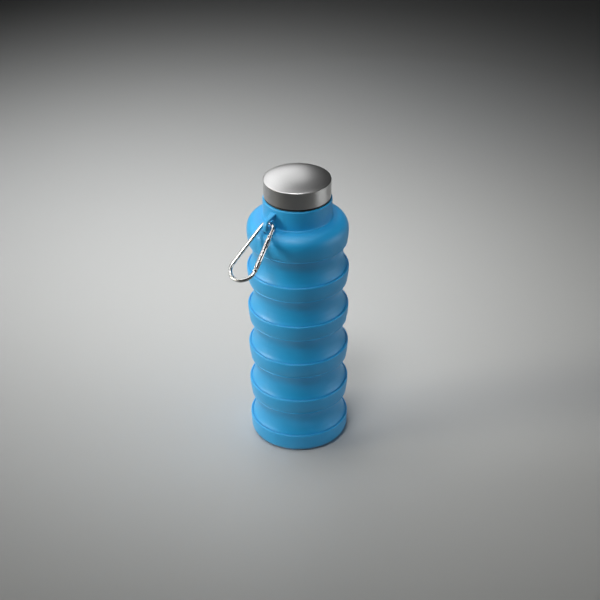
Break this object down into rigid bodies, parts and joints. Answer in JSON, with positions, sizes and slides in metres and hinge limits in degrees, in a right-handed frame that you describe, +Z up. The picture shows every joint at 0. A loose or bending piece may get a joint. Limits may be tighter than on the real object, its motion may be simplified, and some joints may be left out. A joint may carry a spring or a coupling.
{
  "type": "folding water bottle",
  "caption": "Reusable silicone drinking bottle that collapses in stacked folds, with a domed steel screw cap and a small clip hanging from a moulded lug.",
  "frame": {"origin": "centre of the base's flat underside, on the bottle's axis", "axes": "+Z is up along the bottle's axis; -Y is the front, and the carrying lug stands at 43 degrees from -Y towards -X"},
  "size_m": [0.0805, 0.0873, 0.2045],
  "materials": {
    "base_cup": "satin blue silicone rubber, as moulded",
    "bellows_ring_1": "satin blue silicone rubber, as moulded",
    "bellows_ring_2": "satin blue silicone rubber, as moulded",
    "bellows_ring_3": "satin blue silicone rubber, as moulded",
    "bellows_ring_4": "satin blue silicone rubber, as moulded",
    "fold_web_1": "satin blue silicone rubber, as moulded",
    "fold_web_2": "satin blue silicone rubber, as moulded",
    "fold_web_3": "satin blue silicone rubber, as moulded",
    "fold_web_4": "satin blue silicone rubber, as moulded",
    "fold_web_5": "satin blue silicone rubber, as moulded",
    "shoulder_and_neck": "satin blue silicone rubber, as moulded",
    "carrying_lug": "satin blue silicone rubber, as moulded",
    "neck_insert": "dark polypropylene",
    "cap_seal": "soft translucent white silicone",
    "cap_liner": "dark polypropylene",
    "cap_shell": "stainless steel, finely brushed round the side and turned on the dome",
    "carabiner_hook": "bright polished wire",
    "carabiner_gate": "bright polished",
    "gate_pivot_rivet": "bright rivet",
    "gate_latch_rivet": "bright rivet",
    "gate_spring": "spring steel",
    "gate_plunger": "plain steel pin"
  },
  "bodies": {
    "base": {"base_cup": "base_cup", "fold_web_1": "fold_web_1"},
    "ring_1": {"bellows_ring_1": "bellows_ring_1", "fold_web_2": "fold_web_2"},
    "ring_2": {"bellows_ring_2": "bellows_ring_2", "fold_web_3": "fold_web_3"},
    "ring_3": {"bellows_ring_3": "bellows_ring_3", "fold_web_4": "fold_web_4"},
    "ring_4": {"bellows_ring_4": "bellows_ring_4", "fold_web_5": "fold_web_5"},
    "shoulder": {"shoulder_and_neck": "shoulder_and_neck", "carrying_lug": "carrying_lug", "neck_insert": "neck_insert"},
    "cap_seat": {"cap_seal": "cap_seal"},
    "cap": {"cap_shell": "cap_shell", "cap_liner": "cap_liner"},
    "carabiner": {"carabiner_hook": "carabiner_hook", "gate_pivot_rivet": "gate_pivot_rivet"},
    "gate": {"carabiner_gate": "carabiner_gate", "gate_latch_rivet": "gate_latch_rivet", "gate_spring": "gate_spring", "gate_plunger": "gate_plunger"}
  },
  "joints": [
    {"name": "fold_1", "type": "slide", "parent": "base", "child": "ring_1", "axis": [0, 0, -1], "range_m": [0, 0.015], "deforming": ["fold_web_1"]},
    {"name": "fold_2", "type": "slide", "parent": "ring_1", "child": "ring_2", "axis": [0, 0, -1], "range_m": [0, 0.015], "deforming": ["fold_web_2"]},
    {"name": "fold_3", "type": "slide", "parent": "ring_2", "child": "ring_3", "axis": [0, 0, -1], "range_m": [0, 0.015], "deforming": ["fold_web_3"]},
    {"name": "fold_4", "type": "slide", "parent": "ring_3", "child": "ring_4", "axis": [0, 0, -1], "range_m": [0, 0.015], "deforming": ["fold_web_4"]},
    {"name": "fold_5", "type": "slide", "parent": "ring_4", "child": "shoulder", "axis": [0, 0, -1], "range_m": [0, 0.015], "deforming": ["fold_web_5"]},
    {"name": "cap_rise", "type": "slide", "parent": "shoulder", "child": "cap_seat", "axis": [0, 0, 1], "range_m": [0, 0.03]},
    {"name": "cap_unscrew", "type": "hinge", "parent": "cap_seat", "child": "cap", "pos_m": [0, 0, 0.19], "axis": [0, 0, 1], "range_deg": [0, 1350]},
    {"name": "carabiner_swing", "type": "hinge", "parent": "shoulder", "child": "carabiner", "pos_m": [-0.01834, -0.01899, 0.178], "axis": [-0.81, 0.5864, 0], "range_deg": [0, 70]},
    {"name": "gate_open", "type": "hinge", "parent": "carabiner", "child": "gate", "pos_m": [-0.02617, -0.04408, 0.16119], "axis": [-0.3279, -0.453, 0.829], "range_deg": [0, 24], "stiffness_Nm_per_rad": 0.02, "springref_deg": -34.38}
  ],
  "couplings": [
    {"joint": "cap_rise", "follows": "cap_unscrew", "m_per_rad": 0.0012732}
  ]
}
